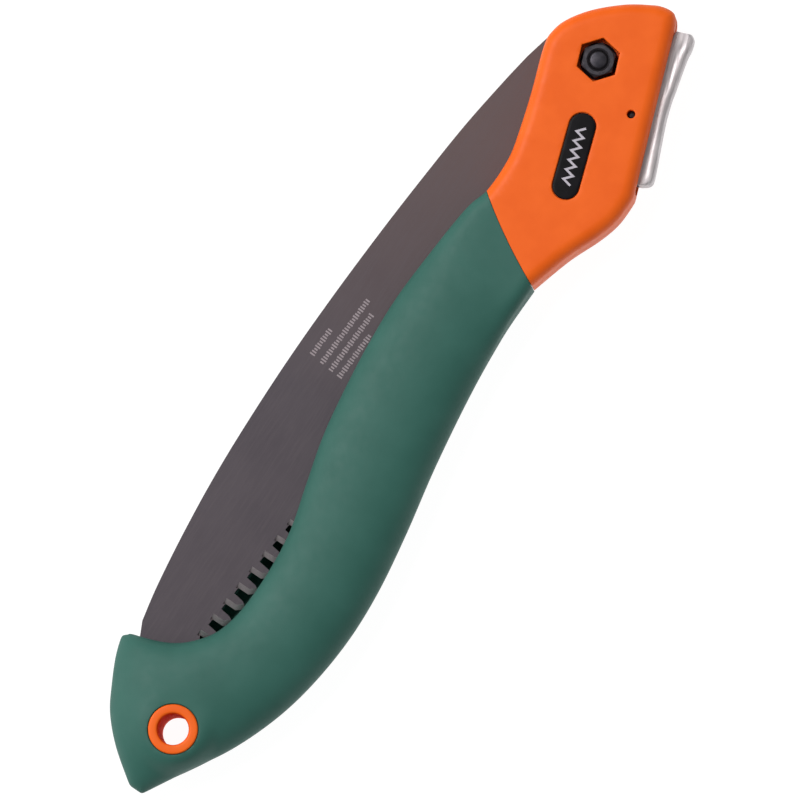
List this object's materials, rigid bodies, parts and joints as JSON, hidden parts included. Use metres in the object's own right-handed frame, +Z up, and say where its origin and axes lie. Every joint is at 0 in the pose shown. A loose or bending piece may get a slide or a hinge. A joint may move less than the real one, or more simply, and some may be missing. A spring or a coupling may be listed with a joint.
{
  "type": "folding pruning saw",
  "caption": "Folding pruning saw, folded shut: curved toothed blade in a hollow two-tone grip, bolted pivot, sprung lock lever along the head and a lanyard eyelet at the butt.",
  "frame": {"origin": "middle of the underside of the whole folded saw's bounding box, the saw lying on its rear side", "axes": "+X along the saw from the butt towards the head, +Y towards the blade's back, +Z up, along the pivot axis, out of the front side"},
  "size_m": [0.3024, 0.0666, 0.024],
  "materials": {
    "orange_nylon": "satin moulded nylon",
    "green_grip": "soft satin moulded nylon",
    "badge_black": "gloss",
    "coated_blade": "satin low-friction coating",
    "bright_steel": "tumbled zinc-plated sheet",
    "black_steel": "black oxide",
    "spring_steel": "drawn wire",
    "white_acetal": "natural acetal"
  },
  "bodies": {
    "handle": {"head_shell_front": "orange_nylon", "head_shell_rear": "orange_nylon", "lanyard_eyelet": "orange_nylon", "grip_shell_front": "green_grip", "grip_shell_rear": "green_grip", "badge_front": "badge_black", "badge_rear": "badge_black", "case_screw_1": "black_steel", "case_screw_2": "black_steel", "case_screw_3": "black_steel", "pivot_bolt": "black_steel", "pivot_nut": "black_steel", "bolt_washer": "black_steel", "pivot_bushing": "bright_steel", "thrust_washer_front": "white_acetal", "thrust_washer_rear": "white_acetal", "lever_pin": "black_steel", "lever_spring": "spring_steel"},
    "blade": {"blade": "coated_blade"},
    "lever": {"lock_lever": "bright_steel", "lock_pawl": "bright_steel", "pawl_rivet": "bright_steel"}
  },
  "joints": [
    {"name": "blade_fold", "type": "hinge", "parent": "handle", "child": "blade", "pos_m": [0.12497, 0.00336, 0.012], "axis": [0, 0, -1], "range_deg": [0, 152]},
    {"name": "lever_press", "type": "hinge", "parent": "handle", "child": "lever", "pos_m": [0.11617, -0.01517, 0.012], "axis": [0, 0, -1], "range_deg": [0, 10], "stiffness_Nm_per_rad": 0.5, "springref_deg": -11.46}
  ]
}
